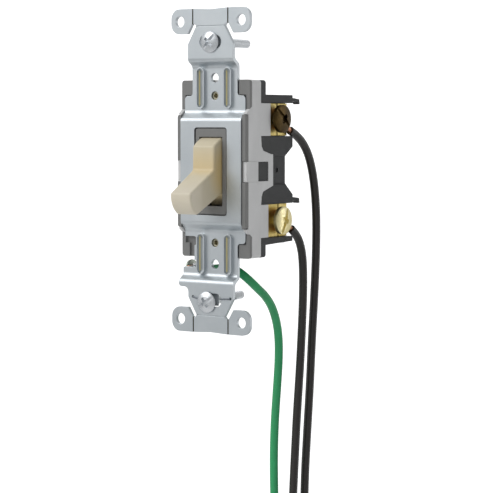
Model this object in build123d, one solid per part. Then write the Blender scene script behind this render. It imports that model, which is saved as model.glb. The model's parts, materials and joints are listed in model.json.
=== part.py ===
from build123d import *
import math
import os

# Toggle wall switch, commercial grade, single pole, with factory-fitted leads.
# Millimetres. X is across the strap, Y runs into the wall box, Z is up.
# The origin is the centre of the strap's mounting holes, on the strap's back face.

# ---- driving dimensions -------------------------------------------------------------
STRAP_T = 1.2              # strap sheet thickness
STRAP_LENGTH = 105.0
EAR_WIDTH = 31.4
NARROW_W = 18.0            # strap width beside the box screws
WIDE_W = 24.2              # strap width beside the toggle
WIDE_TOP = 24.4            # upper and lower ends of that width
WIDE_LOW = 23.2
JOG_DEPTH = 2.5            # how far the ribbed stretches are set back
BOX_SCREW_PITCH = 83.3     # wall box screws
PLATE_SCREW_PITCH = 60.3   # cover plate screws
EAR_HOLE_X = 24.4
EAR_HOLE_Z = 96.8
WINDOW_W = 13.0
WINDOW_H = 28.4

BODY_W = 27.2
BODY_TOP = 29.5
BODY_BOTTOM = -27.95
BODY_WALL = 1.3
COVER_SEAM_Y = 2.9         # front cover meets the housing at the body's ends
BASE_SEAM_Y = 7.9          # housing meets the rear base at the body's ends
BASE_END_Y = 10.6          # back of the shallow ends
POCKET_SEAM_Y = 13.3       # back edge of the housing beside the upper terminal
LOWER_POCKET_SEAM_Y = 12.1
BACK_Y = 25.6              # back of the deep middle

DEEP_TOP = 24.8            # deep part of the rear base
DEEP_BOTTOM = -23.9
DEEP_HALF_W = 10.9
PLATE_OUT_X = 12.2         # outer face of the terminal plates

PIVOT_Y = 3.15             # toggle pivot, at Z = 0
SWING = 57.0               # whole throw of the toggle, degrees
SHOULDER_TURN = 30.0       # slope of the flat shoulders beside the lever
BARREL_R = 11.5            # round shoulders that fill the window at every angle
TOGGLE_W = 8.6
TOGGLE_TIP_W = 8.0
TOGGLE_TIP_R = 22.3        # pivot to lever tip

ROCKER_Y = 18.5            # pivot of the contact rocker, at Z = 0
ROCKER_SWING = 12.0

SCREW_X = 13.1             # middle of the conductor under a terminal screw's head
UPPER_Y = 18.2             # terminal screws
UPPER_Z = 17.0
LOWER_Y = 18.8
LOWER_Z = -16.2
LOOP_R = 2.75              # conductor loop round a terminal screw
COPPER_R = 0.82
LEAD_D = 2.8
BARE_END = 12.0            # stripped length at the far end of each lead
EAR_HOLE_R = 1.8
PLATE_HOLE_R = 1.55
RIB_X = 5.43               # stiffening grooves of the strap
RIB_Z = 26.9
CLIP_HOLES_X = (-7.1, 7.9)
CLIP_HOLE_Z = -40.9
GROUND_Y = 8.6             # grounding screw, on the wing's tab
GROUND_Z = -33.0
GROUND_LOOP_R = 3.1
WING_X = -12.87            # outer side of the grounding wing and its tab

UPPER_SCREW_X = 0.0        # where the captive box screws rest in their slots
LOWER_SCREW_X = -1.15
LOWER_SCREW_Z = -42.45
LOWER_SCREW_TILT = (2.6, 2.7)   # degrees up, and towards the wing
RIVET_Z = (24.45, -23.2)

HALF_W = BODY_W / 2
HALF_SWING = SWING / 2


# ---- helpers ------------------------------------------------------------------------
def block(x0, x1, y0, y1, z0, z1):
    """A box from its two corners."""
    size = (x1 - x0, y1 - y0, z1 - z0)
    return Pos((x0 + x1) / 2, (y0 + y1) / 2, (z0 + z1) / 2) * Box(*size)


def rod(axis, centre, radius, length):
    """A cylinder along X, Y or Z, centred."""
    turn = {"X": Rot(0, 90, 0), "Y": Rot(90, 0, 0), "Z": Rot(0, 0, 0)}[axis]
    return Pos(*centre) * turn * Cylinder(radius, length)


def side_profile(points, half_width, centre_x=0.0):
    """Extrude an outline given as (y, z) points across X."""
    face = make_face(Polyline(*[(0, y, z) for y, z in points], close=True))
    return Pos(centre_x, 0, 0) * extrude(face, amount=half_width, dir=(1, 0, 0), both=True)


def front_profile(points, y0, y1):
    """Extrude an outline given as (x, z) points from y0 to y1."""
    face = make_face(Polyline(*[(x, y0, z) for x, z in points], close=True))
    return extrude(face, amount=y1 - y0, dir=(0, 1, 0))


def slot_along(axis, centre, length, width, depth):
    """A round-ended bar, long along X or Z and deep along Y."""
    half = (length - width) / 2
    dx, dz = (half, 0) if axis == "X" else (0, half)
    cx, cy, cz = centre
    bar = block(cx - dx - (width / 2 if dz else 0), cx + dx + (width / 2 if dz else 0),
                cy - depth / 2, cy + depth / 2,
                cz - dz - (width / 2 if dx else 0), cz + dz + (width / 2 if dx else 0))
    ends = [rod("Y", (cx + s * dx, cy, cz + s * dz), width / 2, depth) for s in (-1, 1)]
    return bar + ends[0] + ends[1]


def turn_x(shape, degrees, y, z):
    """Turn a shape about the line along X through (y, z)."""
    return Pos(0, y, z) * Rot(degrees, 0, 0) * Pos(0, -y, -z) * shape


def soften(shape, edges, radius):
    """Fillet edges, with smaller radii as a fallback."""
    for r in (radius, radius * 0.6, radius * 0.3):
        try:
            result = fillet(edges, r)
            if result.is_valid:
                return result
        except ValueError:
            continue
    return shape


# ---- mounting strap -----------------------------------------------------------------
def strap_side():
    """The strap's bent edge view: flat, set back beside the body's ends, and flat again."""
    front, back = -STRAP_T / 2, -STRAP_T / 2 + JOG_DEPTH
    bends = [(front, STRAP_LENGTH / 2), (front, 35.95), (back, 34.25), (back, 18.9), (front, 16.6)]
    middle = bends + [(y, -z) for y, z in reversed(bends)]
    outer, inner = [], []
    for i, (y, z) in enumerate(middle):
        before = middle[max(i - 1, 0)]
        after = middle[min(i + 1, len(middle) - 1)]
        a = Vector(y - before[0], z - before[1]) if i else Vector(after[0] - y, after[1] - z)
        b = Vector(after[0] - y, after[1] - z) if i < len(middle) - 1 else a
        na = Vector(a.Y, -a.X).normalized()
        nb = Vector(b.Y, -b.X).normalized()
        miter = (na + nb) * (1.0 / (1.0 + na.dot(nb)))
        outer.append((y + miter.X * STRAP_T / 2, z + miter.Y * STRAP_T / 2))
        inner.append((y - miter.X * STRAP_T / 2, z - miter.Y * STRAP_T / 2))
    sides = []
    for row in (outer, inner):
        sides.append(FilletPolyline(*[(0, y, z) for y, z in row], radius=1.6))
    top = Line(sides[0] @ 0, sides[1] @ 0)
    bottom = Line(sides[0] @ 1, sides[1] @ 1)
    face = make_face([*sides[0].edges(), *sides[1].edges(), *top.edges(), *bottom.edges()])
    return extrude(face, amount=EAR_WIDTH, dir=(1, 0, 0), both=True)


def ear(sign):
    """One pair of plaster ears, joined by the neck, as a flat front view."""
    top = STRAP_LENGTH / 2
    half = EAR_WIDTH / 2
    # outline from the ear's inner corner, round the open notch and down the neck
    notch = [(half, 44.4), (9.1, 44.4), (7.3, 47.45), (6.2, 47.6), (5.65, 46.8), (NARROW_W / 2, 41.0),
             (NARROW_W / 2, 30)]
    end = [(7.0, top), (0, top - 0.35), (-7.0, top)]
    points = [(-x, z) for x, z in notch] + notch[::-1] + [(half, top)] + end + [(-half, top)]
    shape = front_profile([(x, sign * z) for x, z in points], -6, 6)
    lobes = [e for e in shape.edges().filter_by(Axis.Y)
             if abs(e.center().X) > half - 0.1]
    return soften(shape, lobes, 3.2)


def upright_edges(shape, x, z):
    """The edges along Y that pass through (x, z)."""
    return [e for e in shape.edges().filter_by(Axis.Y)
            if abs(e.center().X - x) < 0.01 and abs(e.center().Z - z) < 0.01]


def strap_outline():
    wing_bottom = -37.7
    narrow = NARROW_W / 2
    shape = ear(1) + ear(-1) + block(-narrow, narrow, -6, 6, -36, 36)
    wide = block(-WIDE_W / 2, WIDE_W / 2, -6, 6, -WIDE_LOW, WIDE_TOP)
    shape += soften(wide, wide.edges().filter_by(Axis.Y), 1.2)
    for x, z in ((narrow, WIDE_TOP), (-narrow, WIDE_TOP), (narrow, -WIDE_LOW)):
        shape = soften(shape, upright_edges(shape, x, z), 1.0)
    wing = block(WING_X, -narrow + 1, -6, 6, wing_bottom, -31.5)
    shape += soften(wing, upright_edges(wing, WING_X, wing_bottom), 1.0)
    shape = soften(shape, upright_edges(shape, -narrow, wing_bottom), 1.8)
    # room for the grounding conductor, above the wing
    shape -= slot_along("X", (-11.1, 0, -22.8), 7.9, 3.0, 12)
    shape -= block(-narrow - 1, -8.35, -6, 6, -30, -WIDE_LOW)
    return shape - rod("Y", (-8.05, 0, -30.2), 1.15, 12)


def pressed_groove(x, z, length, width, floor_y):
    """A groove pressed in from the front, with sloping ends and a flat floor at floor_y."""
    half = length / 2
    run = [(0.3, half + 1.0), (floor_y, half - 1.1), (floor_y, 1.1 - half), (0.3, -half - 1.0)]
    slope = side_profile([(y, z + dz) for y, dz in run], width, x)
    return slope & slot_along("Z", (x, 2.0, z), length, width, 4)


def grounding_tab():
    """The lug bent back from the wing, tapped for the grounding screw."""
    inner = WING_X + STRAP_T
    tab = block(WING_X, inner, 1.9, GROUND_Y + 2.7, -37.2, -31.5)
    tab += block(WING_X, inner, GROUND_Y - 2.2, GROUND_Y + 2.2, -33, -30.8)
    return tab - rod("X", (WING_X, GROUND_Y, GROUND_Z), 1.6, 6)


def mounting_strap():
    strap = strap_side() & strap_outline()
    strap -= block(-WINDOW_W / 2, WINDOW_W / 2, -3, 3, -WINDOW_H / 2, WINDOW_H / 2)
    corners = [e for e in strap.edges().filter_by(Axis.Y)
               if abs(abs(e.center().X) - WINDOW_W / 2) < 0.01]
    strap = soften(strap, corners, 1.0)
    for sz in (-1, 1):
        strap -= slot_along("X", (0, 0, sz * BOX_SCREW_PITCH / 2), 8.8, 4.3, 8)
        strap -= rod("Y", (0, 0, sz * PLATE_SCREW_PITCH / 2), PLATE_HOLE_R, 8)
        for sx in (-1, 1):
            strap -= rod("Y", (sx * EAR_HOLE_X / 2, 0, sz * EAR_HOLE_Z / 2), EAR_HOLE_R, 8)
            # break-off score lines of the ears
            strap -= block(sx * 7.0 - 0.22, sx * 7.0 + 0.22, -STRAP_T - 1, -STRAP_T + 0.45,
                           *sorted((sz * 47.4, sz * 52.6)))
            # stiffening grooves, pressed in from the front and proud at the back
            x_rib, z_rib = sx * RIB_X + 0.1, sz * RIB_Z
            strap += pressed_groove(x_rib, z_rib, 13.4, 3.2, 2.86)
            strap -= pressed_groove(x_rib, z_rib, 12.6, 2.4, 1.85)
        strap -= block(-5.6, 5.6, -STRAP_T - 1, -STRAP_T + 0.3,
                       *sorted((sz * 46.68, sz * 46.95)))
    for z in RIVET_Z:
        strap -= rod("Y", (0, 0, z), 1.4, 8)
    strap += grounding_tab()
    for x_hole in CLIP_HOLES_X:
        strap -= rod("Y", (x_hole, 0, CLIP_HOLE_Z), 0.5, 8)
    return strap


# ---- screws -------------------------------------------------------------------------
def drive_cut(head_d, depth, slot_w, cross_d, cross_w, turn):
    """Combination slot and cross recess, cut from Z = 0 downwards."""
    slot = Box(head_d * 1.2, slot_w, depth * 2)
    cross = Box(cross_d, cross_w, depth * 2.6) + Box(cross_w, cross_d, depth * 2.6)
    return Rot(0, 0, turn) * (slot + cross)


def screw(head_d, head_h, dome, shank_r, length, recess):
    """A screw along -Z with its head's top at Z = 0: oval head, plain shank, pointed end."""
    r = head_d / 2
    profile = [(0, 0), (r * 0.3, -dome * 0.09), (r * 0.55, -dome * 0.3), (r * 0.75, -dome * 0.57),
               (r * 0.9, -dome * 0.84), (r, -dome - 0.15), (r, -head_h + 0.2), (r - 0.2, -head_h),
               (shank_r, -head_h), (shank_r, -head_h - length + 1.0),
               (shank_r * 0.55, -head_h - length), (0, -head_h - length)]
    face = make_face(Polyline(*[(x, 0, z) for x, z in profile], close=True))
    return revolve(face, axis=Axis.Z) - recess


BOX_HEAD_H = 1.35
BOX_SHANK_R = 1.42


def box_screw(x, z, lift, tilt, turn):
    """Oval-head wall box screw, head on the strap's front, shank into the box."""
    up, across = tilt
    recess = drive_cut(6.9, 0.75, 0.9, 3.5, 1.0, turn)
    shape = screw(6.9, BOX_HEAD_H, 0.85, BOX_SHANK_R, 21.4, recess)
    return Pos(x, -STRAP_T - lift - BOX_HEAD_H, z) * Rot(up, 0, across) * Rot(90, 0, 0) * shape


def terminal_screw(y, z, turn):
    """Binding-head terminal screw, along X, over the conductor loop."""
    head_h = 2.05
    recess = drive_cut(9.1, 0.8, 1.2, 3.4, 1.5, turn)
    shape = screw(9.1, head_h, 0.55, 1.7, 7.0, recess)
    return Pos(SCREW_X + COPPER_R + 0.03 + head_h, y, z) * Rot(0, 90, 0) * shape


def ground_screw():
    head_h = 1.3
    recess = drive_cut(6.8, 0.7, 0.9, 3.0, 0.9, 20)
    shape = screw(6.8, head_h, 0.45, 1.4, 3.4, recess)
    return Pos(WING_X - 2 * COPPER_R - 0.06 - head_h, GROUND_Y, GROUND_Z) * Rot(0, -90, 0) * shape


def screw_retainers():
    """Fibre squares behind the strap that keep the box screws captive."""
    washers = []
    for x, z in ((LOWER_SCREW_X, LOWER_SCREW_Z + 0.15), (UPPER_SCREW_X, BOX_SCREW_PITCH / 2)):
        square = block(x - 2.6, x + 3.1, 0.05, 0.75, z - 3.6, z + 3.6)
        square = chamfer(square.edges().filter_by(Axis.Y), 0.8)
        washers.append(square - rod("Y", (x, 0.4, z), BOX_SHANK_R + 0.2, 3))
    washers[0] -= block(-5, 5, 0, 1.2, -50, -BOX_SCREW_PITCH / 2 - 1.9)
    return Compound(children=washers)


def ground_clip():
    """Spring wire that bridges the lower box screw and the strap."""
    wire_r = 0.25
    front_y = -STRAP_T - wire_r - 0.03
    left, right = CLIP_HOLES_X
    path = FilletPolyline((left, 2.0, CLIP_HOLE_Z), (left, front_y, CLIP_HOLE_Z), (-4.15, front_y, -41.7),
                          (-4.15, 1.3, -41.7), (-2.4, 1.3, -44.7), (2.4, 1.3, -44.7),
                          (3.9, 1.3, -41.2), (3.9, front_y, -41.2), (right, front_y, CLIP_HOLE_Z),
                          (right, 2.0, CLIP_HOLE_Z), radius=0.45)
    start = Plane(origin=path @ 0, z_dir=path % 0)
    return sweep(start * Circle(wire_r), path=path)


def strap_rivets():
    """Tubular rivets that hold the strap to the body, set in below the strap's face."""
    rivets = []
    for z in RIVET_Z:
        shape = rod("Y", (0, 4.85, z), 1.3, 5.9)
        shape -= rod("Y", (0, 2.0, z), 0.75, 3.0)
        rivets.append(shape)
    return Compound(children=rivets)


# ---- body shells --------------------------------------------------------------------
CHANNEL_HALF = WIDE_W / 2 + 0.08
RAISED_Z = 18.3            # half-height of the cover's raised side strips
RAISED_Y = -0.75
MIDDLE_SEAM_Y = 0.9
TAB_HALF_Z = 3.25


SHOULDER_Z = 18.9          # where the housing's side walls start to slope back
SLOPE_END_Z = 20.9


def plate_stud_clearance(z_sign):
    """Round clearance behind a cover plate hole, cut out of the body's end walls."""
    return rod("Y", (0, 6, z_sign * PLATE_SCREW_PITCH / 2), 1.35, 16)


def front_cover():
    inset = HALF_W - BODY_WALL - 0.15
    plug_top, plug_bottom = BODY_TOP - BODY_WALL - 0.15, BODY_BOTTOM + BODY_WALL + 0.15
    ends = block(-HALF_W, HALF_W, 1.7, COVER_SEAM_Y, BODY_BOTTOM, BODY_TOP)
    ends = soften(ends, ends.edges().filter_by(Axis.Y), 1.0)
    gap = 0.1
    slope = [(0, SHOULDER_Z + gap), (COVER_SEAM_Y + gap, SLOPE_END_Z + gap)]
    ends -= side_profile(slope + [(y, -z) for y, z in slope[::-1]], HALF_W + 1)
    middle = block(-HALF_W, HALF_W, RAISED_Y, MIDDLE_SEAM_Y, -RAISED_Z, RAISED_Z)
    middle = soften(middle, middle.edges().filter_by(Axis.Y), 0.8)
    middle -= block(-CHANNEL_HALF, CHANNEL_HALF, -3, 0.05, -RAISED_Z - 1, RAISED_Z + 1)
    plug = block(-inset, inset, 2.4, 4.5, plug_bottom, plug_top)
    plug += block(-inset, inset, MIDDLE_SEAM_Y - 0.5, 4.5, -SLOPE_END_Z, SLOPE_END_Z)
    cover = ends + middle + plug
    # channel for the set-back stretches of the strap
    for sz in (-1, 1):
        z_low, z_high = (WIDE_TOP if sz > 0 else WIDE_LOW) + 0.3, 40
        run = [(-2, 16.1), (0.05, 16.1), (JOG_DEPTH + 0.05, 18.4), (JOG_DEPTH + 0.05, z_high), (-2, z_high)]
        narrow = side_profile([(y, sz * z) for y, z in run], NARROW_W / 2 + 0.3)
        wide = side_profile([(y, sz * min(z, z_low)) for y, z in run], CHANNEL_HALF)
        cover -= narrow
        cover -= wide
        for sx in (-1, 1):
            cover -= slot_along("Z", (sx * RIB_X + 0.1, 2.6, sz * RIB_Z), 13.8, 3.6, 2.2)
        cover -= plate_stud_clearance(sz)
    for z in RIVET_Z:
        cover -= rod("Y", (0, 3, z), 1.3, 8)
    # relief beside the strap's narrow edge
    cover -= block(-10.6, -NARROW_W / 2, 1.2, JOG_DEPTH + 0.05, BODY_BOTTOM - 1, -WIDE_LOW)
    # raised frame that fills the strap's window, with a shallow bevel all round
    frame_x, frame_z = WINDOW_W / 2 - 0.3, WINDOW_H / 2 - 0.3
    bezel = block(-frame_x, frame_x, -1.0, 1.0, -frame_z, frame_z)
    bezel = soften(bezel, bezel.edges().filter_by(Axis.Y), 0.8)
    bezel = soften(bezel, bezel.faces().sort_by(Axis.Y)[0].edges(), 0.35)
    cover += bezel
    # slot for the toggle: a close lip in front, wider behind for the turning shoulders
    cover -= block(-TOGGLE_W / 2 - 0.3, TOGGLE_W / 2 + 0.3, -2, 5, -11.15, 11.15)
    cover -= block(-TOGGLE_W / 2 - 0.3, TOGGLE_W / 2 + 0.3, -0.5, 5, -11.9, 11.9)
    # seats for the toggle's pin, open to the back
    cover -= rod("X", (0, PIVOT_Y, 0), 1.5, 15.0)
    cover -= block(-7.5, 7.5, PIVOT_Y, 5, -1.5, 1.5)
    # notches for the housing's snap tabs
    for sx in (-1, 1):
        cover -= block(*sorted((sx * (HALF_W - 1.25), sx * (HALF_W + 1))), -2, MIDDLE_SEAM_Y + 0.01,
                       -TAB_HALF_Z - 0.1, TAB_HALF_Z + 0.1)
    return cover


# one side's insulating barrier, as (y, z) points
BARRIER = [(8.1, 11.35), (26.1, 11.35), (26.1, 7.9), (22.3, 5.2), (22.3, -4.7), (26.2, -7.9),
           (26.2, -10.7), (8.1, -10.7), (8.4, -8.1), (9.2, -6.6), (14.9, -4.8), (14.9, 5.6),
           (13.6, 5.65), (9.3, 6.8), (8.4, 8.2)]


def barrier_prism(sign, x_in, x_out, gap=0.0):
    """The barrier's outline, grown by a gap, between two distances from the middle."""
    face = make_face(Polyline(*[(0, y, z) for y, z in BARRIER], close=True))
    if gap:
        face = offset(face, amount=gap, kind=Kind.INTERSECTION)
    prism = extrude(face, amount=(x_out - x_in) / 2, dir=(1, 0, 0), both=True)
    return Pos(sign * (x_in + x_out) / 2, 0, 0) * prism


def housing():
    inner = HALF_W - BODY_WALL
    shell = block(-HALF_W, HALF_W, COVER_SEAM_Y, BASE_SEAM_Y, BODY_BOTTOM, BODY_TOP)
    shell = soften(shell, shell.edges().filter_by(Axis.Y), 1.0)
    # side walls that slope forward beside the cover's raised strips
    wall = [(COVER_SEAM_Y, SLOPE_END_Z), (0, SHOULDER_Z), (0, RAISED_Z + 0.1),
            (MIDDLE_SEAM_Y, RAISED_Z + 0.1)]
    shell += side_profile(wall + [(y, -z) for y, z in wall[::-1]], HALF_W)
    shell += block(-HALF_W, HALF_W, BASE_SEAM_Y, POCKET_SEAM_Y, 0, 22.0)
    shell += block(-HALF_W, HALF_W, BASE_SEAM_Y, LOWER_POCKET_SEAM_Y, -21.5, 0)
    shell += block(-HALF_W, HALF_W, LOWER_POCKET_SEAM_Y, 14.8, -5.6, 6.4)
    cavity = block(-inner, inner, -1, 16, BODY_BOTTOM + BODY_WALL, BODY_TOP - BODY_WALL)
    shell -= cavity
    # room for the barriers of the rear base on both sides, and windows for its latch nubs
    for sx in (-1, 1):
        shell -= barrier_prism(sx, inner - 1, HALF_W + 1, 0.1)
        xs = sorted((sx * (inner - 1), sx * (HALF_W + 1)))
        shell -= block(*xs, 6.3, 12.1, -3.15, 3.15)
    # snap tabs over the front cover
    for sx in (-1, 1):
        shell += block(*sorted((sx * (HALF_W - 1.2), sx * (HALF_W + 0.15))), -0.3, 6.2,
                       -TAB_HALF_Z, TAB_HALF_Z)
    # inner web that carries the pin and the stops
    web = block(-inner - 0.2, inner + 0.2, 6.0, 7.7, BODY_BOTTOM + 0.5, BODY_TOP - 0.5)
    web -= block(-4.9, 4.9, 5, 9, -12.4, 12.4)
    web -= block(-inner - 1, -10.3, 5, 9, -3.2, 3.2) + block(10.3, inner + 1, 5, 9, -3.2, 3.2)
    for sx in (-1, 1):
        web += block(*sorted((sx * 5.1, sx * 7.3)), PIVOT_Y + 1.5, 6.0, -2.2, 2.2)
        web += block(*sorted((sx * 5.0, sx * 6.6)), 7.7, 12.0, 7.2, 11.4)
        web += block(*sorted((sx * 5.0, sx * 6.6)), 7.7, 12.0, -11.4, -7.2)
    for z in RIVET_Z:
        web -= rod("Y", (0, 5, z), 1.3, 8)
    shell += web
    return shell - plate_stud_clearance(1) - plate_stud_clearance(-1)


def barrier(sign):
    """The insulating barrier between two terminals: two proud blocks and a recessed web."""
    wing = barrier_prism(sign, DEEP_HALF_W, HALF_W)
    web_x = HALF_W - 0.6
    recess = [(web_x, -3.9), (web_x, 4.5), (HALF_W + 0.2, 5.5), (HALF_W + 0.2, -4.9)]
    wing -= front_profile([(sign * x, z) for x, z in recess], 14, 27)
    return wing - rod("X", (sign * web_x, 17.7, 0.3), 0.8, 0.8)


def rear_base():
    inner = HALF_W - BODY_WALL - 0.15
    flange = block(-HALF_W, HALF_W, BASE_SEAM_Y + 0.02, BASE_END_Y, BODY_BOTTOM, BODY_TOP)
    flange = soften(flange, flange.edges().filter_by(Axis.Y), 1.0)
    for sx in (-1, 1):
        flange -= block(*sorted((sx * inner, sx * (HALF_W + 1))), 5, 15, -21.6, 22.1)
    deep = block(-DEEP_HALF_W, DEEP_HALF_W, BASE_SEAM_Y + 0.02, BACK_Y, DEEP_BOTTOM, DEEP_TOP)
    base = flange + deep
    for sx in (-1, 1):
        x0, x1 = sorted((sx * DEEP_HALF_W, sx * HALF_W))
        base += block(x0, x1, BASE_SEAM_Y + 0.2, 26.1, 22.15, DEEP_TOP)
        lower = [(BASE_SEAM_Y + 0.2, -21.65), (26.1, -21.65), (26.1, -23.3), (10.6, -23.9),
                 (BASE_SEAM_Y + 0.2, -23.9)]
        base += side_profile(lower, (x1 - x0) / 2, (x0 + x1) / 2)
        base += barrier(sx)
        # latch nubs that show through the housing's side windows
        nub = block(*sorted((sx * (inner - 1.6), sx * (HALF_W - 0.05))), 6.45, 11.95, -3.0, 3.0)
        nub += block(*sorted((sx * (inner - 1.6), sx * (inner - 0.2))), 6.45, 14, -3.0, 3.0)
        base += nub
        # wire guides at the back corners above each terminal
        for z_top in (24.0, -8.7):
            guide = [(25.5, z_top), (30.3, z_top - 0.5), (30.6, z_top - 2.1), (29.8, z_top - 2.2),
                     (29.2, z_top - 1.5), (25.5, z_top - 1.2)]
            base += side_profile(guide, 1.0, sx * 12.4)
    base -= block(-9.4, 9.4, BASE_SEAM_Y - 1, 24.1, DEEP_BOTTOM + 1.5, DEEP_TOP - 1.5)
    # passages for the terminals' inner blades, on the wired side
    base -= block(9.0, DEEP_HALF_W + 0.1, 13.5, 14.75, 11.45, 14.1)
    base -= block(9.0, DEEP_HALF_W + 0.1, 21.6, 22.95, -14.1, -10.75)
    # back-wire holes and screw clearances beside each terminal
    for y, z in ((UPPER_Y, UPPER_Z), (LOWER_Y, LOWER_Z)):
        for dz in (-3.2, 3.2):
            base -= rod("Y", (7.9, BACK_Y, z + dz), 1.35, 5)
        base -= rod("X", (10.0, y, z), 2.1, 3.0)
    base = base - plate_stud_clearance(1) - plate_stud_clearance(-1)
    edges = [e for e in base.edges().filter_by(Axis.X) if e.center().Y > BACK_Y - 0.05
             and (abs(e.center().Z - DEEP_TOP) < 0.05 or abs(e.center().Z - DEEP_BOTTOM) < 0.05)]
    return soften(base, edges, 0.5)


# ---- toggle and mechanism -----------------------------------------------------------
def toggle():
    """One moulding: lever, round shoulders, hub and spring post, drawn with the lever along -Y."""
    a = math.radians(SHOULDER_TURN)
    flat = 8.4                        # pivot to the flat shoulder faces
    root = 0.28                       # lever root, along the flat from its foot
    foot = Vector(-math.cos(a), math.sin(a)) * flat
    along = Vector(math.sin(a), math.cos(a))
    lever_root = foot + along * root
    flat_end = foot + along * math.sqrt(BARREL_R ** 2 - flat ** 2)
    skirt = math.radians(101)
    mid = (math.atan2(flat_end.Y, -flat_end.X) + skirt) / 2
    on_arc = [Vector(-math.cos(t), math.sin(t)) * BARREL_R for t in (mid, skirt)]
    tip = Vector(-21.0, 3.95)

    def at(v, side=1):
        return (0, v.X, side * v.Y)

    half_outline = []
    for side in (1, -1):
        half_outline += [
            Line(at(tip, side), at(lever_root, side)),
            Line(at(lever_root, side), at(flat_end, side)),
            ThreePointArc(at(flat_end, side), at(on_arc[0], side), at(on_arc[1], side)),
            Line(at(on_arc[1], side), (0, 3.2, side * 3.6)),
        ]
    nose = ThreePointArc(at(tip), (0, -TOGGLE_TIP_R, 0), at(tip, -1))
    tail = Line((0, 3.2, 3.6), (0, 3.2, -3.6))
    outline = make_face([e for part in half_outline + [nose, tail] for e in part.edges()])
    body = extrude(outline, amount=TOGGLE_W / 2, dir=(1, 0, 0), both=True)
    # draft of the lever's sides
    w0, w1 = TOGGLE_W / 2, TOGGLE_TIP_W / 2
    plan = make_face(Polyline((-w0, 12, 0), (w0, 12, 0), (w0, -8.2, 0), (w1, -24, 0), (-w1, -24, 0),
                              (-w0, -8.2, 0), close=True))
    body &= extrude(plan, amount=20, both=True)
    tip_edges = [e for e in body.edges().filter_by(Axis.X) if e.center().Y < -20]
    body = soften(body, tip_edges, 0.9)
    root_edges = [e for e in body.edges().filter_by(Axis.X)
                  if abs(e.center().Y - lever_root.X) < 0.05]
    body = soften(body, root_edges, 1.2)
    corner_edges = [e for e in body.edges().filter_by(Axis.X)
                    if abs(e.center().Y - flat_end.X) < 0.05]
    body = soften(body, corner_edges, 1.0)
    rim = []
    for e in body.edges():
        c = e.center()
        along_x = abs((e @ 1).X - (e @ 0).X) > 1.5 * TOGGLE_TIP_W / 2
        if not along_x and c.Y < -2.0 and abs(c.X) > w1 - 0.3:
            rim.append(e)
    body = soften(body, rim, 0.65)
    # spring post behind the hub
    body += block(-2.4, 2.4, 3.0, 6.0, -2.0, 2.0)
    body += rod("Y", (0, 7.0, 0), 1.1, 2.2)
    body -= rod("X", (0, 0, 0), 1.56, 12)
    return body


def in_toggle(shape):
    """Place a shape drawn about the pivot, lever along -Y, at the rest position: lever down."""
    return Pos(0, PIVOT_Y, 0) * Rot(HALF_SWING, 0, 0) * shape


def toggle_spring():
    coil = Helix(pitch=0.98, height=4.6, radius=1.7)
    start = Plane(origin=coil @ 0, z_dir=coil % 0)
    wire = sweep(start * Circle(0.25), path=coil)
    return Pos(0, 6.3, 0) * Rot(-90, 0, 0) * wire


def spring_plunger():
    profile = [(0, 9.2), (1.1, 9.2), (1.1, 11.3), (2.0, 11.3), (2.0, 11.9), (1.2, 12.6), (0.5, 12.95),
               (0, 12.95)]
    face = make_face(Polyline(*[(x, y, 0) for x, y in profile], close=True))
    return revolve(face, axis=Axis.Y)


def turn_rocker(shape, degrees):
    return turn_x(shape, degrees, ROCKER_Y, 0)


def contact_rocker():
    """Cradle that the plunger pushes, and the arm that carries the moving contact."""
    depth = 2.05
    front = ThreePointArc((0, 16.35 - depth, -5.9), (0, 16.35, 0), (0, 16.35 - depth, 5.9))
    back = ThreePointArc((0, 17.35 - depth, -6.1), (0, 17.35, 0), (0, 17.35 - depth, 6.1))
    ends = [Line(front @ 0, back @ 0), Line(front @ 1, back @ 1)]
    cradle_face = make_face([e for part in [front, back, *ends] for e in part.edges()])
    cradle = extrude(cradle_face, amount=2.5, dir=(1, 0, 0), both=True)
    cradle += rod("X", (0, ROCKER_Y, 0), 2.0, 5.0)
    arm = side_profile([(14.6, 4.6), (15.4, 5.0), (15.6, 6.2), (17.5, 8.3), (17.5, 13.9), (16.5, 13.9),
                        (16.5, 8.9), (13.9, 6.2), (13.85, 5.5)], 2.5)
    shape = turn_rocker(cradle, -ROCKER_SWING / 2) + turn_rocker(arm, -ROCKER_SWING)
    return shape - rod("X", (0, ROCKER_Y, 0), 1.05, 12)


def moving_contact():
    return turn_rocker(rod("Y", (0, 16.05, 12.2), 1.6, 0.9), -ROCKER_SWING)


def terminal_plate(screw_y, screw_z, z_low, z_high):
    """A brass plate with a shallow upright groove, tapped for its screw."""
    plate = block(DEEP_HALF_W + 0.02, PLATE_OUT_X, 13.45, 24.6, z_low, z_high)
    groove_z = (z_low + z_high) / 2
    plate -= Pos(PLATE_OUT_X, screw_y + 0.8, groove_z) * Rot(0, 0, 45) * Box(0.7, 0.7, z_high - z_low + 1)
    return plate - rod("X", (12, screw_y, screw_z), 1.85, 6)


def upper_terminal():
    shape = terminal_plate(UPPER_Y, UPPER_Z, 11.5, 22.0)
    shape += block(-2.2, DEEP_HALF_W + 0.5, 13.6, 14.6, 11.6, 14.0)
    return shape + block(-2.2, 2.2, 13.6, 14.6, 10.2, 14.0)


def lower_terminal():
    """Terminal plate, inner strap and the two ears that carry the rocker's pin."""
    shape = terminal_plate(LOWER_Y, LOWER_Z, -21.5, -10.85)
    shape += block(-4.2, DEEP_HALF_W + 0.5, 21.8, 22.8, -14.0, -10.9)
    shape += block(-4.2, 4.2, 21.8, 22.8, -14.0, 2.4)
    for sx in (-1, 1):
        shape += block(*sorted((sx * 3.3, sx * 4.2)), 16.9, 22.0, -2.4, 2.4)
    return shape - rod("X", (0, ROCKER_Y, 0), 1.0, 12)


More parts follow.
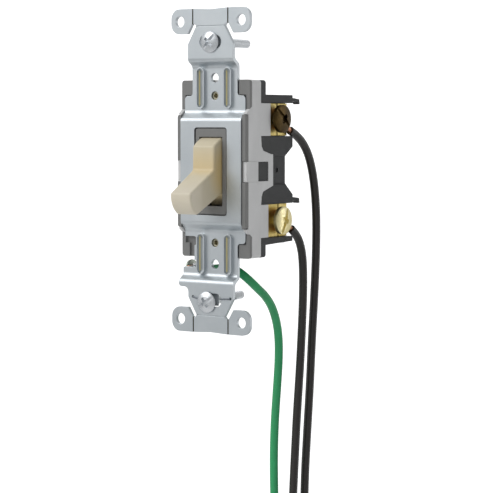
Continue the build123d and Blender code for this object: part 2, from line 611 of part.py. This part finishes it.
# ---- leads --------------------------------------------------------------------------
UPPER_ROUTE = [(13.1, 25.3, 13.15), (13.4, 29.0, 11.5), (13.8, 32.9, 8.2), (14.0, 36.0, 3.4),
               (14.2, 38.2, -4.2), (14.4, 39.3, -14.5), (14.6, 38.9, -27.5), (14.8, 37.6, -41.5),
               (15.0, 35.8, -57.0), (15.2, 34.3, -73.0), (15.3, 32.5, -89.0), (15.4, 30.9, -104.5),
               (15.4, 30.6, -119.5)]
LOWER_ROUTE = [(13.1, 25.9, -19.3), (13.4, 28.4, -21.1), (13.8, 30.5, -24.5), (14.1, 31.6, -29.8),
               (14.3, 31.6, -39.5), (14.6, 30.4, -52.0), (14.8, 28.9, -66.0), (15.0, 26.9, -80.5),
               (15.1, 25.5, -95.0), (15.1, 24.3, -110.0), (15.2, 23.9, -125.0), (15.2, 24.0, -140.5),
               (15.1, 24.4, -155.5)]
GROUND_ROUTE = [(-10.9, 12.2, -33.0), (-6.8, 12.6, -32.5), (-2.6, 11.7, -31.9), (1.6, 10.2, -32.2),
                (5.7, 10.7, -34.7), (8.2, 13.2, -38.2), (9.2, 17.4, -41.6), (9.5, 21.1, -46.2),
                (9.6, 23.7, -53.0), (9.6, 24.2, -61.5), (9.5, 23.2, -72.0), (9.4, 21.9, -84.0),
                (9.3, 21.5, -97.0), (9.3, 22.0, -111.0), (9.3, 22.3, -125.5), (9.2, 22.1, -139.0),
                (9.1, 22.3, -149.5)]


def corner_radii(route):
    """One radius per corner: 0.45 of the shorter run over the tangent of half the turn."""
    radii = []
    for a, b, c in zip(route, route[1:], route[2:]):
        u, v = Vector(b) - Vector(a), Vector(c) - Vector(b)
        half = math.radians(u.get_angle(v)) / 2
        radii.append(0.45 * min(u.length, v.length) / math.tan(half))
    return radii


def lead(name, route):
    """The insulated tube along its route."""
    radii = corner_radii(route)
    path = FilletPolyline(*route, radius=radii)
    tube = sweep(Plane(origin=path @ 0, z_dir=path % 0) * Circle(LEAD_D / 2), path=path)
    expected = math.pi * (LEAD_D / 2) ** 2 * path.length
    print(f"{name}: length {path.length:.1f}, radii {[round(r, 1) for r in radii]}, "
          f"volume {tube.volume:.1f} of {expected:.1f}")
    return tube


def stripped_end(route):
    """Bare strands past the end of the insulation."""
    end, way = Vector(route[-1]), (Vector(route[-1]) - Vector(route[-2])).normalized()
    from_end = (Align.CENTER, Align.CENTER, Align.MIN)
    strand = Plane(origin=end, z_dir=way) * Cylinder(COPPER_R, BARE_END, align=from_end)
    return strand


def tail_between(start, end):
    """A straight piece of conductor."""
    way = Vector(end) - Vector(start)
    foot = Plane(origin=start, z_dir=way)
    return foot * Cylinder(COPPER_R, way.length, align=(Align.CENTER, Align.CENTER, Align.MIN))


def terminal_loop(y, z, exit_point):
    """Conductor hooked round the back of a terminal screw, with its neck pointing at the lead."""
    eye = Pos(SCREW_X, y, z) * Rot(0, 90, 0) * Torus(LOOP_R, COPPER_R)
    eye &= block(SCREW_X - 2, SCREW_X + 2, y - 0.6, y + 5, z - 5, z + 5)
    way = Vector(0, exit_point[1] - y, exit_point[2] - z).normalized()
    neck = Vector(SCREW_X, y, z) + way * LOOP_R
    return eye + tail_between(neck, exit_point)


def ground_loop():
    """Conductor hooked under the grounding screw, its neck passing behind the tab's back edge."""
    x = WING_X - COPPER_R - 0.03
    eye = Pos(x, GROUND_Y, GROUND_Z) * Rot(0, 90, 0) * Torus(GROUND_LOOP_R, COPPER_R)
    eye -= block(x - 2, x + 2, GROUND_Y - 5, GROUND_Y + 5, GROUND_Z + 1.6, GROUND_Z + 5)
    corner = (x, GROUND_ROUTE[0][1], GROUND_Z)
    neck = tail_between((x, GROUND_Y + GROUND_LOOP_R, GROUND_Z), corner)
    return eye + neck + Pos(*corner) * Sphere(COPPER_R) + tail_between(corner, GROUND_ROUTE[0])


# ---- build everything ---------------------------------------------------------------
PIN_LENGTH = 14.6


def build():
    parts = {
        "mounting_strap": mounting_strap(),
        "box_screw_upper": box_screw(UPPER_SCREW_X, BOX_SCREW_PITCH / 2, 0.05, (0, 0), 48),
        "box_screw_lower": box_screw(LOWER_SCREW_X, LOWER_SCREW_Z, 0.45, LOWER_SCREW_TILT, 35),
        "screw_retainers": screw_retainers(),
        "ground_clip": ground_clip(),
        "strap_rivets": strap_rivets(),
        "ground_screw": ground_screw(),
        "front_cover": front_cover(),
        "housing": housing(),
        "rear_base": rear_base(),
        "toggle": in_toggle(toggle()),
        "toggle_pin": rod("X", (0, PIVOT_Y, 0), 1.5, PIN_LENGTH),
        "toggle_spring": in_toggle(toggle_spring()),
        "spring_plunger": in_toggle(spring_plunger()),
        "contact_rocker": contact_rocker(),
        "rocker_pin": rod("X", (0, ROCKER_Y, 0), 1.0, 8.6),
        "moving_contact": moving_contact(),
        "fixed_contact": rod("Y", (0, 15.03, 12.2), 1.6, 0.86),
        "upper_terminal": upper_terminal(),
        "lower_terminal": lower_terminal(),
        "upper_terminal_screw": terminal_screw(UPPER_Y, UPPER_Z, 48),
        "lower_terminal_screw": terminal_screw(LOWER_Y, LOWER_Z, -20),
        "upper_wire_loop": terminal_loop(UPPER_Y, UPPER_Z, UPPER_ROUTE[0]),
        "lower_wire_loop": terminal_loop(LOWER_Y, LOWER_Z, LOWER_ROUTE[0]),
        "ground_wire_loop": ground_loop(),
        "upper_lead": lead("upper_lead", UPPER_ROUTE),
        "lower_lead": lead("lower_lead", LOWER_ROUTE),
        "ground_lead": lead("ground_lead", GROUND_ROUTE),
    }
    stops = [block(-5.0, 5.0, 10.6, 11.8, *sorted((sz * 7.9, sz * 10.9))) for sz in (-1, 1)]
    parts["toggle_stops"] = Compound(children=stops)
    for name, route in (("upper", UPPER_ROUTE), ("lower", LOWER_ROUTE), ("ground", GROUND_ROUTE)):
        parts[name + "_bare_end"] = stripped_end(route)
    return parts


os.makedirs("parts", exist_ok=True)
for node, shape in build().items():
    export_step(shape, f"parts/{node}.step")
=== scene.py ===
import bpy
import bmesh
import json
import math
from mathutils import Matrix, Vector


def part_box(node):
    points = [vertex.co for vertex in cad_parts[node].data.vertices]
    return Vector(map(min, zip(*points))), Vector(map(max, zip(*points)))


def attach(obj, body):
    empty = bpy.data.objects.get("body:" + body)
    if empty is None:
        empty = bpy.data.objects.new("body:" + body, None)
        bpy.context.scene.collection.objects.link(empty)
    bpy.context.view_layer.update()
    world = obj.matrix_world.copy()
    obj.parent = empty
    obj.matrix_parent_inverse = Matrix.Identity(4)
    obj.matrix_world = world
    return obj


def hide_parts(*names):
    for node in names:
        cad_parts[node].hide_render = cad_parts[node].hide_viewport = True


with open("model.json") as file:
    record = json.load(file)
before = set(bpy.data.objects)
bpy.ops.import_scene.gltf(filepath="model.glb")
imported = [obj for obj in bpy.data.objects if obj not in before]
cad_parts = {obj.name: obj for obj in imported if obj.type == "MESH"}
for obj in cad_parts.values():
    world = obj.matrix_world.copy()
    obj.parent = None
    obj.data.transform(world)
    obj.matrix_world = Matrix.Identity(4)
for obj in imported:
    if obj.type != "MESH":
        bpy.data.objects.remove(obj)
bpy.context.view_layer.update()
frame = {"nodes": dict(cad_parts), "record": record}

# A toggle wall switch with factory-fitted leads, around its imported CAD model.
# Metres. X is across the strap, Y runs into the wall box, Z is up.


# ---- camera --------------------------------------------------------------------------
def make_camera():
    """The studio camera: in front of the strap, on the terminals' side, a little above."""
    data = bpy.data.cameras.new("camera")
    data.sensor_width = 36.0
    data.lens = 136.53
    data.clip_start = 0.05
    data.clip_end = 20.0
    camera = bpy.data.objects.new("camera", data)
    bpy.context.collection.objects.link(camera)
    forward = Vector((-0.57794, 0.81343, -0.06576))
    camera.location = (0.35928, -0.48671, 0.01554)
    camera.rotation_mode = "QUATERNION"
    camera.rotation_quaternion = forward.to_track_quat("-Z", "Y")
    bpy.context.scene.camera = camera


make_camera()

# ---- cords ---------------------------------------------------------------------------
LEAD_DIAMETER = 0.0028
UPPER_ROUTE = [
    (0.0131, 0.0253, 0.01315), (0.0134, 0.0290, 0.0115), (0.0138, 0.0329, 0.0082),
    (0.0140, 0.0360, 0.0034), (0.0142, 0.0382, -0.0042), (0.0144, 0.0393, -0.0145),
    (0.0146, 0.0389, -0.0275), (0.0148, 0.0376, -0.0415), (0.0150, 0.0358, -0.0570),
    (0.0152, 0.0343, -0.0730), (0.0153, 0.0325, -0.0890), (0.0154, 0.0309, -0.1045),
    (0.0154, 0.0306, -0.1195)]
LOWER_ROUTE = [
    (0.0131, 0.0259, -0.0193), (0.0134, 0.0284, -0.0211), (0.0138, 0.0305, -0.0245),
    (0.0141, 0.0316, -0.0298), (0.0143, 0.0316, -0.0395), (0.0146, 0.0304, -0.0520),
    (0.0148, 0.0289, -0.0660), (0.0150, 0.0269, -0.0805), (0.0151, 0.0255, -0.0950),
    (0.0151, 0.0243, -0.1100), (0.0152, 0.0239, -0.1250), (0.0152, 0.0240, -0.1405),
    (0.0151, 0.0244, -0.1555)]
GROUND_ROUTE = [
    (-0.0109, 0.0122, -0.0330), (-0.0068, 0.0126, -0.0325), (-0.0026, 0.0117, -0.0319),
    (0.0016, 0.0102, -0.0322), (0.0057, 0.0107, -0.0347), (0.0082, 0.0132, -0.0382),
    (0.0092, 0.0174, -0.0416), (0.0095, 0.0211, -0.0462), (0.0096, 0.0237, -0.0530),
    (0.0096, 0.0242, -0.0615), (0.0095, 0.0232, -0.0720), (0.0094, 0.0219, -0.0840),
    (0.0093, 0.0215, -0.0970), (0.0093, 0.0220, -0.1110), (0.0093, 0.0223, -0.1255),
    (0.0092, 0.0221, -0.1390), (0.0091, 0.0223, -0.1495)]


def nurbs_curve(name, route, radius):
    """An open NURBS curve with a round section along the route's points."""
    data = bpy.data.curves.new(name, "CURVE")
    data.dimensions = "3D"
    data.bevel_depth = 1.0       # times each point's own radius, which also sets the curve's bounds
    data.bevel_resolution = 8
    data.resolution_u = 24
    data.use_fill_caps = True
    spline = data.splines.new("NURBS")
    spline.points.add(len(route) - 1)
    for point, place in zip(spline.points, route):
        point.co = (*place, 1.0)
        point.radius = radius
    spline.order_u = 3
    spline.use_endpoint_u = True
    curve = bpy.data.objects.new(name, data)
    bpy.context.collection.objects.link(curve)
    return curve


def make_lead(name, route):
    """A hanging lead that stands for its CAD tube."""
    curve = nurbs_curve(name + "_insulation", route, LEAD_DIAMETER / 2)
    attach(curve, "frame")
    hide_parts(name)
    return curve


LEADS = {
    "upper_lead": make_lead("upper_lead", UPPER_ROUTE),
    "lower_lead": make_lead("lower_lead", LOWER_ROUTE),
    "ground_lead": make_lead("ground_lead", GROUND_ROUTE),
}


# ---- materials -----------------------------------------------------------------------
class Shader:
    """A node material with short helpers. Noise runs on object coordinates, which are metres."""

    def __init__(self, name):
        self.material = bpy.data.materials.new(name)
        self.material.use_nodes = True
        self.tree = self.material.node_tree
        self.bsdf = self.tree.nodes["Principled BSDF"]
        self.place = self.node("ShaderNodeTexCoord").outputs["Object"]

    def node(self, kind, **settings):
        """A new node with its own settings."""
        made = self.tree.nodes.new(kind)
        for key, value in settings.items():
            setattr(made, key, value)
        return made

    def link(self, source, target):
        self.tree.links.new(source, target)

    def set(self, **values):
        """Plain values on the surface shader's own sockets."""
        for key, value in values.items():
            self.bsdf.inputs[key.replace("_", " ")].default_value = value

    def mapped(self, scale=(1, 1, 1), rotation=(0, 0, 0)):
        """The place, stretched and turned, so that a pattern can run along one way."""
        mapping = self.node("ShaderNodeMapping")
        mapping.inputs["Scale"].default_value = scale
        mapping.inputs["Rotation"].default_value = rotation
        self.link(self.place, mapping.inputs["Vector"])
        return mapping.outputs["Vector"]

    def noise(self, scale, detail=3.0, vector=None, roughness=0.5, distortion=0.0):
        made = self.node("ShaderNodeTexNoise")
        made.inputs["Scale"].default_value = scale
        made.inputs["Detail"].default_value = detail
        made.inputs["Roughness"].default_value = roughness
        made.inputs["Distortion"].default_value = distortion
        self.link(vector or self.place, made.inputs["Vector"])
        return made.outputs["Fac"]

    def ramp(self, source, stops):
        """A colour ramp, from stops of a position and a grey level or a colour."""
        made = self.node("ShaderNodeValToRGB")
        elements = made.color_ramp.elements
        while len(elements) < len(stops):
            elements.new(0.5)
        for element, (position, colour) in zip(elements, stops):
            element.position = position
            element.color = (*colour, 1.0) if hasattr(colour, "__len__") else (colour, colour, colour, 1.0)
        self.link(source, made.inputs["Fac"])
        return made.outputs["Color"]

    def mix(self, factor, a, b):
        """Colour a where the factor is 0 and b where it is 1, each a socket or a colour."""
        made = self.node("ShaderNodeMix", data_type="RGBA")
        for socket, value in ((made.inputs[0], factor), (made.inputs[6], a), (made.inputs[7], b)):
            if hasattr(value, "is_linked"):
                self.link(value, socket)
            elif hasattr(value, "__len__"):
                socket.default_value = (*value, 1.0)
            else:
                socket.default_value = value
        return made.outputs[2]

    def bump(self, height, distance, strength=1.0, below=None):
        made = self.node("ShaderNodeBump")
        made.inputs["Strength"].default_value = strength
        made.inputs["Distance"].default_value = distance
        self.link(height, made.inputs["Height"])
        if below is not None:
            self.link(below, made.inputs["Normal"])
        return made.outputs["Normal"]

    def fade(self, mask, amount):
        """A mask at less than full strength."""
        return self.maths("MULTIPLY", mask, amount)

    def within(self, axis, low, high, mask=None):
        """A mask that is 1 where a coordinate lies between two values, times another mask."""
        parts = self.node("ShaderNodeSeparateXYZ")
        self.link(self.place, parts.inputs["Vector"])
        value = parts.outputs[axis[-1]]
        if axis.startswith("abs"):
            value = self.maths("ABSOLUTE", value)
        above = self.maths("GREATER_THAN", value, low)
        inside = self.maths("MULTIPLY", above, self.maths("LESS_THAN", value, high))
        return self.maths("MULTIPLY", inside, mask) if mask else inside

    def maths(self, operation, a, b=None):
        """One arithmetic step on a socket, with a socket or a number as the second value."""
        made = self.node("ShaderNodeMath", operation=operation)
        self.link(a, made.inputs[0])
        if hasattr(b, "is_linked"):
            self.link(b, made.inputs[1])
        elif b is not None:
            made.inputs[1].default_value = b
        return made.outputs[0]

    def rounded_normal(self):
        """The normal with every hard edge rounded by a moulding or stamping radius."""
        made = self.node("ShaderNodeBevel", samples=6)
        made.inputs["Radius"].default_value = EDGE_RADIUS
        return made.outputs["Normal"]

    def edge_highlights(self):
        """A mask for painted edge highlights: bright along edges, where the rounded normal leaves the true
        one.
        """
        made = self.node("ShaderNodeVectorMath", operation="DOT_PRODUCT")
        self.link(self.rounded_normal(), made.inputs[0])
        self.link(self.node("ShaderNodeNewGeometry").outputs["Normal"], made.inputs[1])
        return self.ramp(made.outputs["Value"], [(0.72, 1.0), (0.97, 0.0)])


def srgb(r, g, b):
    """An sRGB colour in 0 to 255 as linear light."""
    def linear(c):
        c /= 255
        return c / 12.92 if c <= 0.04045 else ((c + 0.055) / 1.055) ** 2.4
    return (linear(r), linear(g), linear(b))


def scaled(colour, factor):
    return tuple(c * factor for c in colour)


EDGE_RADIUS = 0.00016


def plastic(name, colour, roughness=0.45, grain=5200, grain_depth=0.000006, drift=0.05, edge=0.25,
            specular=0.4):
    """Moulded plastic: slow flow marks, fine spark-eroded grain, patchy gloss and edges painted lighter as
    a painted highlight.
    """
    s = Shader(name)
    flow = s.noise(140, 4, s.mapped((1, 1, 0.4)), 0.55, 0.6)
    base = s.ramp(flow, [(0.3, scaled(colour, 1 - drift)), (0.7, scaled(colour, 1 + drift))])
    speck = s.ramp(s.noise(2600, 2), [(0.55, 0.0), (0.8, 1.0)])
    base = s.mix(s.fade(speck, 0.12), base, scaled(colour, 0.72))
    # Painted highlight: every edge is painted lighter than the plastic.
    edge_highlight = s.edge_highlights()
    s.link(s.mix(s.fade(edge_highlight, edge), base, scaled(colour, 1.35)), s.bsdf.inputs["Base Color"])
    patch = s.noise(420, 5)
    rough = s.ramp(patch, [(0.3, roughness - 0.05), (0.7, roughness + 0.07)])
    s.link(rough, s.bsdf.inputs["Roughness"])
    s.link(s.bump(s.noise(grain, 3), grain_depth, 0.6, s.rounded_normal()), s.bsdf.inputs["Normal"])
    s.set(Specular_IOR_Level=specular)
    return s.material


LEVER_ROOT = 0.006           # reach from the pivot at which the painted root shade starts to fade towards the tip's tone
LEVER_TIP = 0.020


def lever_plastic(name):
    """Ivory moulding, deeper in tone towards the root as painted shade, with painted highlights along the
    edges.
    """
    s = Shader(name)
    pin_low, pin_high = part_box("toggle_pin")
    pivot_y = (pin_low[1] + pin_high[1]) / 2
    offset = s.node("ShaderNodeVectorMath", operation="SUBTRACT")
    s.link(s.place, offset.inputs[0])
    offset.inputs[1].default_value = (0, pivot_y, 0)
    flat = s.node("ShaderNodeVectorMath", operation="MULTIPLY")
    s.link(offset.outputs["Vector"], flat.inputs[0])
    flat.inputs[1].default_value = (0, 1, 1)
    reach = s.node("ShaderNodeVectorMath", operation="LENGTH")
    s.link(flat.outputs["Vector"], reach.inputs[0])
    along = s.node("ShaderNodeMapRange")
    s.link(reach.outputs["Value"], along.inputs["Value"])
    along.inputs["From Min"].default_value = LEVER_ROOT
    along.inputs["From Max"].default_value = LEVER_TIP
    # Painted shade: the lever is painted deeper and warmer near the pivot, fading out towards the tip.
    tone = s.ramp(along.outputs["Result"], [(0.0, srgb(224, 198, 142)), (0.4, srgb(216, 205, 178)),
                                            (1.0, srgb(222, 213, 193))])
    flow = s.ramp(s.noise(180, 4, None, 0.5, 0.8), [(0.35, 0.0), (0.75, 1.0)])
    base = s.mix(s.fade(flow, 0.10), tone, srgb(180, 168, 140))
    # Painted highlight: edges are painted a lighter ivory.
    s.link(s.mix(s.fade(s.edge_highlights(), 0.25), base, srgb(226, 216, 194)), s.bsdf.inputs["Base Color"])
    s.link(s.ramp(s.noise(420, 5), [(0.3, 0.3), (0.7, 0.42)]), s.bsdf.inputs["Roughness"])
    s.link(s.bump(s.noise(4200, 3), 0.000004, 0.5, s.rounded_normal()), s.bsdf.inputs["Normal"])
    s.set(Specular_IOR_Level=0.4)
    return s.material


def metal(name, light, dark, roughness=0.35, tarnish=None, marks=0.3, thread=False):
    """Plated or bare metal: soft cloudy tone, fine tumbling marks and dull low spots."""
    s = Shader(name)
    cloud = s.noise(160, 5)
    base = s.ramp(cloud, [(0.3, dark), (0.72, light)])
    grime = s.ramp(s.noise(420, 5, None, 0.6, 0.4), [(0.5, 0.0), (0.8, 1.0)])
    base = s.mix(s.fade(grime, marks), base, tarnish or scaled(dark, 0.6))
    s.link(base, s.bsdf.inputs["Base Color"])
    lines = s.noise(1900, 3)
    s.link(s.ramp(lines, [(0.3, roughness - 0.05), (0.7, roughness + 0.08)]), s.bsdf.inputs["Roughness"])
    normal = s.bump(lines, 0.000004, 0.5, s.rounded_normal())
    if thread:
        normal = s.bump(box_screw_thread(s), 0.00008, 0.8, normal)
    s.link(normal, s.bsdf.inputs["Normal"])
    s.set(Metallic=1.0)
    return s.material


THREAD_PITCH = 0.00079       # 32 threads to the inch
THREAD_START_Y = 0.0012      # behind the box screws' heads
WAVE_PERIOD = math.pi / 10   # a wave texture's period at scale 1


def box_screw_thread(s):
    """Thread ridges along Y on the box screws' shanks, none on their heads."""
    wave = s.node("ShaderNodeTexWave", wave_type="BANDS", bands_direction="Y")
    wave.inputs["Scale"].default_value = WAVE_PERIOD / THREAD_PITCH
    s.link(s.mapped((1, 1, 1), (0.03, 0, 0.06)), wave.inputs["Vector"])
    return s.within("Y", THREAD_START_Y, 0.1, wave.outputs["Fac"])


# Low and high ends of the strap's marks: the ears' score lines, and the sides of the pressed grooves that
# face the terminals, which carry a painted highlight.
SCORE_ABS_X = (0.0067, 0.0073)
SCORE_Y = (-0.00116, -0.0006)
SCORE_ABS_Z = (0.047, 0.0524)
GROOVE_LIT_SIDES_X = ((0.0042, 0.0046), (-0.0067, -0.0063))
GROOVE_Y = (0.00138, 0.0019)
GROOVE_ABS_Z = (0.020, 0.034)


def strap_metal(name):
    """Zinc plated sheet: smooth satin with soft clouds, dark score lines, and a bright, warm painted
    highlight on the pressed grooves' sides that face the terminals.
    """
    s = Shader(name)
    cloud = s.noise(75, 3, None, 0.45)
    base = s.ramp(cloud, [(0.3, srgb(198, 204, 208)), (0.7, srgb(208, 213, 216))])
    rub = s.ramp(s.noise(260, 4, s.mapped((1, 1, 0.3))), [(0.45, 0.0), (0.75, 1.0)])
    base = s.mix(s.fade(rub, 0.10), base, srgb(176, 184, 190))
    notch = s.within("Y", *SCORE_Y, s.within("absZ", *SCORE_ABS_Z))
    score = s.within("absX", *SCORE_ABS_X, notch)
    depth = s.within("Y", *GROOVE_Y, s.within("absZ", *GROOVE_ABS_Z))
    groove_highlight = s.maths("ADD", *(s.within("X", *side, depth) for side in GROOVE_LIT_SIDES_X))
    base = s.mix(score, base, srgb(104, 92, 58))
    # Painted highlight: the pressed grooves' sides that face the terminals are painted bright and warm.
    base = s.mix(s.fade(groove_highlight, 0.9), base, srgb(250, 240, 196))
    s.link(base, s.bsdf.inputs["Base Color"])
    lines = s.noise(2400, 3, s.mapped((1, 1, 0.5)))
    s.link(s.ramp(lines, [(0.3, 0.38), (0.7, 0.46)]), s.bsdf.inputs["Roughness"])
    dent = s.noise(60, 1)
    normal = s.bump(dent, 0.00003, 0.5, s.rounded_normal())
    s.link(s.bump(lines, 0.0000025, 0.4, normal), s.bsdf.inputs["Normal"])
    s.set(Metallic=1.0)
    return s.material


def insulation(name, colour, roughness):
    """Extruded nylon jacket: faint lengthwise draw lines, slow sheen changes and scuffs."""
    s = Shader(name)
    tone = s.noise(220, 4, s.mapped((1, 1, 0.12)))
    base = s.ramp(tone, [(0.3, scaled(colour, 0.85)), (0.7, scaled(colour, 1.15))])
    scuff = s.ramp(s.noise(900, 5, s.mapped((1, 1, 0.3)), 0.6), [(0.58, 0.0), (0.8, 1.0)])
    s.link(s.mix(s.fade(scuff, 0.25), base, scaled(colour, 1.9)), s.bsdf.inputs["Base Color"])
    rough = s.ramp(scuff, [(0.0, roughness), (1.0, roughness + 0.2)])
    s.link(rough, s.bsdf.inputs["Roughness"])
    s.link(s.bump(s.noise(1500, 3, s.mapped((1, 1, 0.05))), 0.00001, 0.5), s.bsdf.inputs["Normal"])
    s.set(Specular_IOR_Level=0.5, Coat_Weight=0.25, Coat_Roughness=0.25)
    return s.material


MATERIALS = {
    "zinc_strap": strap_metal("zinc_strap"),
    "zinc_screw": metal("zinc_screw", srgb(226, 229, 232), srgb(206, 210, 214), 0.3, marks=0.2,
                        tarnish=srgb(130, 138, 146), thread=True),
    "green_screw": metal("green_screw", srgb(198, 204, 194), srgb(152, 160, 148), 0.34, marks=0.3,
                         tarnish=srgb(96, 106, 88)),
    "fibre": plastic("fibre", srgb(150, 156, 162), 0.7, grain=2600, grain_depth=0.00002, drift=0.15),
    # The spring steel's grey is darkened as painted shade: the ground clip's wire sits in shadow.
    "spring_steel": metal("spring_steel", srgb(128, 132, 138), srgb(84, 88, 94), 0.32),
    "rivet_steel": metal("rivet_steel", srgb(206, 200, 176), srgb(150, 146, 126), 0.32),
    "mid_grey_plastic": plastic("mid_grey_plastic", srgb(128, 128, 127), 0.5),
    "light_grey_plastic": plastic("light_grey_plastic", srgb(216, 216, 216), 0.48, edge=0.1),
    "dark_base_plastic": plastic("dark_base_plastic", srgb(50, 51, 52), 0.4, edge=0.35, specular=0.3),
    "ivory_plastic": lever_plastic("ivory_plastic"),
    "contact_copper": metal("contact_copper", srgb(214, 148, 106), srgb(176, 110, 74), 0.35),
    "silver_contact": metal("silver_contact", srgb(224, 224, 220), srgb(186, 186, 182), 0.3),
    "brass_plate": metal("brass_plate", srgb(238, 219, 150), srgb(212, 188, 110), 0.42,
                         tarnish=srgb(140, 112, 50)),
    "dark_bronze_screw": metal("dark_bronze_screw", srgb(108, 88, 52), srgb(64, 51, 29), 0.34,
                               tarnish=srgb(40, 30, 18)),
    "brass_screw": metal("brass_screw", srgb(250, 241, 200), srgb(238, 224, 168), 0.3, marks=0.15,
                         tarnish=srgb(190, 166, 96)),
    "bare_copper": metal("bare_copper", srgb(224, 170, 138), srgb(188, 130, 98), 0.36),
    "black_insulation": insulation("black_insulation", srgb(36, 31, 28), 0.34),
    "green_insulation": insulation("green_insulation", srgb(40, 160, 98), 0.36),
    "stop_rubber": plastic("stop_rubber", srgb(46, 46, 46), 0.8),
}


def material_of_nodes():
    """Which record slot each CAD node uses."""
    return {part["node"]: part["material_slot"] for part in frame["record"]["subparts"]}


NODE_SLOTS = material_of_nodes()


def paint(obj, slot):
    """Give an object one material and name its record slot."""
    obj.data.materials.clear()
    obj.data.materials.append(MATERIALS[slot])


for node, obj in frame["nodes"].items():
    if not obj.hide_render:
        paint(obj, NODE_SLOTS[node])
for lead, curve in LEADS.items():
    paint(curve, NODE_SLOTS[lead])


# ---- stage and light -----------------------------------------------------------------
STAGE_HALF = 3.0             # half the stage's width, its reach in front and its height
FLOOR_Z = -0.62
BEND_Y, BEND_RADIUS = 1.2, 0.8
BEND_STEPS = 14
GLOW_X = (-0.5, 0.5)         # the backdrop's glow fades out across this stretch
GLOW = 0.62
GLOW_Y = (1.0, 9.0)          # the floor in front of the bend doesn't glow


def stage_profile():
    """The floor, the bend and the upright backdrop, as (y, z) points."""
    profile = [(-STAGE_HALF, FLOOR_Z)]
    for i in range(BEND_STEPS + 1):
        a = math.pi / 2 * i / BEND_STEPS
        profile.append((BEND_Y + BEND_RADIUS * math.sin(a), FLOOR_Z + BEND_RADIUS * (1 - math.cos(a))))
    profile.append((BEND_Y + BEND_RADIUS, STAGE_HALF))
    return profile


def stage_material():
    """White, brightest behind the object as the camera sees it and dimmer to the right."""
    s = Shader("backdrop")
    s.link(s.ramp(s.noise(3), [(0.3, 0.86), (0.7, 0.9)]), s.bsdf.inputs["Base Color"])
    across = s.node("ShaderNodeSeparateXYZ")
    s.link(s.place, across.inputs["Vector"])
    glow = s.node("ShaderNodeMapRange")
    s.link(across.outputs["X"], glow.inputs["Value"])
    glow.inputs["From Min"].default_value, glow.inputs["From Max"].default_value = GLOW_X
    glow.inputs["To Min"].default_value = GLOW
    glow.inputs["To Max"].default_value = 0.0
    s.link(s.within("Y", *GLOW_Y, glow.outputs["Result"]), s.bsdf.inputs["Emission Strength"])
    s.set(Roughness=0.9, Emission_Color=(1, 1, 1, 1))
    return s.material


def make_stage():
    """A white floor and a curved white backdrop well clear of the hanging leads."""
    mesh = bmesh.new()
    rows = [[mesh.verts.new((x, y, z)) for x in (-STAGE_HALF, STAGE_HALF)] for y, z in stage_profile()]
    for a, b in zip(rows, rows[1:]):
        mesh.faces.new((a[0], a[1], b[1], b[0]))
    data = bpy.data.meshes.new("backdrop")
    mesh.to_mesh(data)
    mesh.free()
    for face in data.polygons:
        face.use_smooth = True
    stage = bpy.data.objects.new("backdrop", data)
    bpy.context.collection.objects.link(stage)
    data.materials.append(stage_material())


def area_light(name, place, size, power):
    """A rectangular lamp aimed at the frame's origin."""
    data = bpy.data.lights.new(name, "AREA")
    data.shape = "RECTANGLE"
    data.size, data.size_y = size
    data.energy = power
    light = bpy.data.objects.new(name, data)
    bpy.context.collection.objects.link(light)
    light.location = place
    light.rotation_euler = (-Vector(place)).to_track_quat("-Z", "Y").to_euler()


ROOM_BACK, ROOM_FRONT = 0.38, 0.66


def make_world():
    """Soft room light, brighter towards the front left than behind and to the right."""
    world = bpy.data.worlds.new("studio")
    bpy.context.scene.world = world
    world.use_nodes = True
    tree = world.node_tree
    direction = tree.nodes.new("ShaderNodeTexCoord").outputs["Generated"]
    facing = tree.nodes.new("ShaderNodeVectorMath")
    facing.operation = "DOT_PRODUCT"
    facing.inputs[1].default_value = (-0.58, -0.81, 0.05)
    level = tree.nodes.new("ShaderNodeMapRange")
    level.inputs["From Min"].default_value = -0.4
    level.inputs["To Min"].default_value = ROOM_BACK
    level.inputs["To Max"].default_value = ROOM_FRONT
    tree.links.new(direction, facing.inputs[0])
    tree.links.new(facing.outputs["Value"], level.inputs["Value"])
    tree.links.new(level.outputs["Result"], tree.nodes["Background"].inputs["Strength"])
    tree.nodes["Background"].inputs["Color"].default_value = (0.985, 0.995, 1.0, 1)


make_stage()
make_world()
area_light("key", (-0.5, -0.75, 0.75), (1.0, 1.0), 6.5)
area_light("edge_strip", (0.95, 1.05, 0.05), (0.12, 1.0), 1.2)
bpy.context.scene.view_settings.view_transform = "Standard"
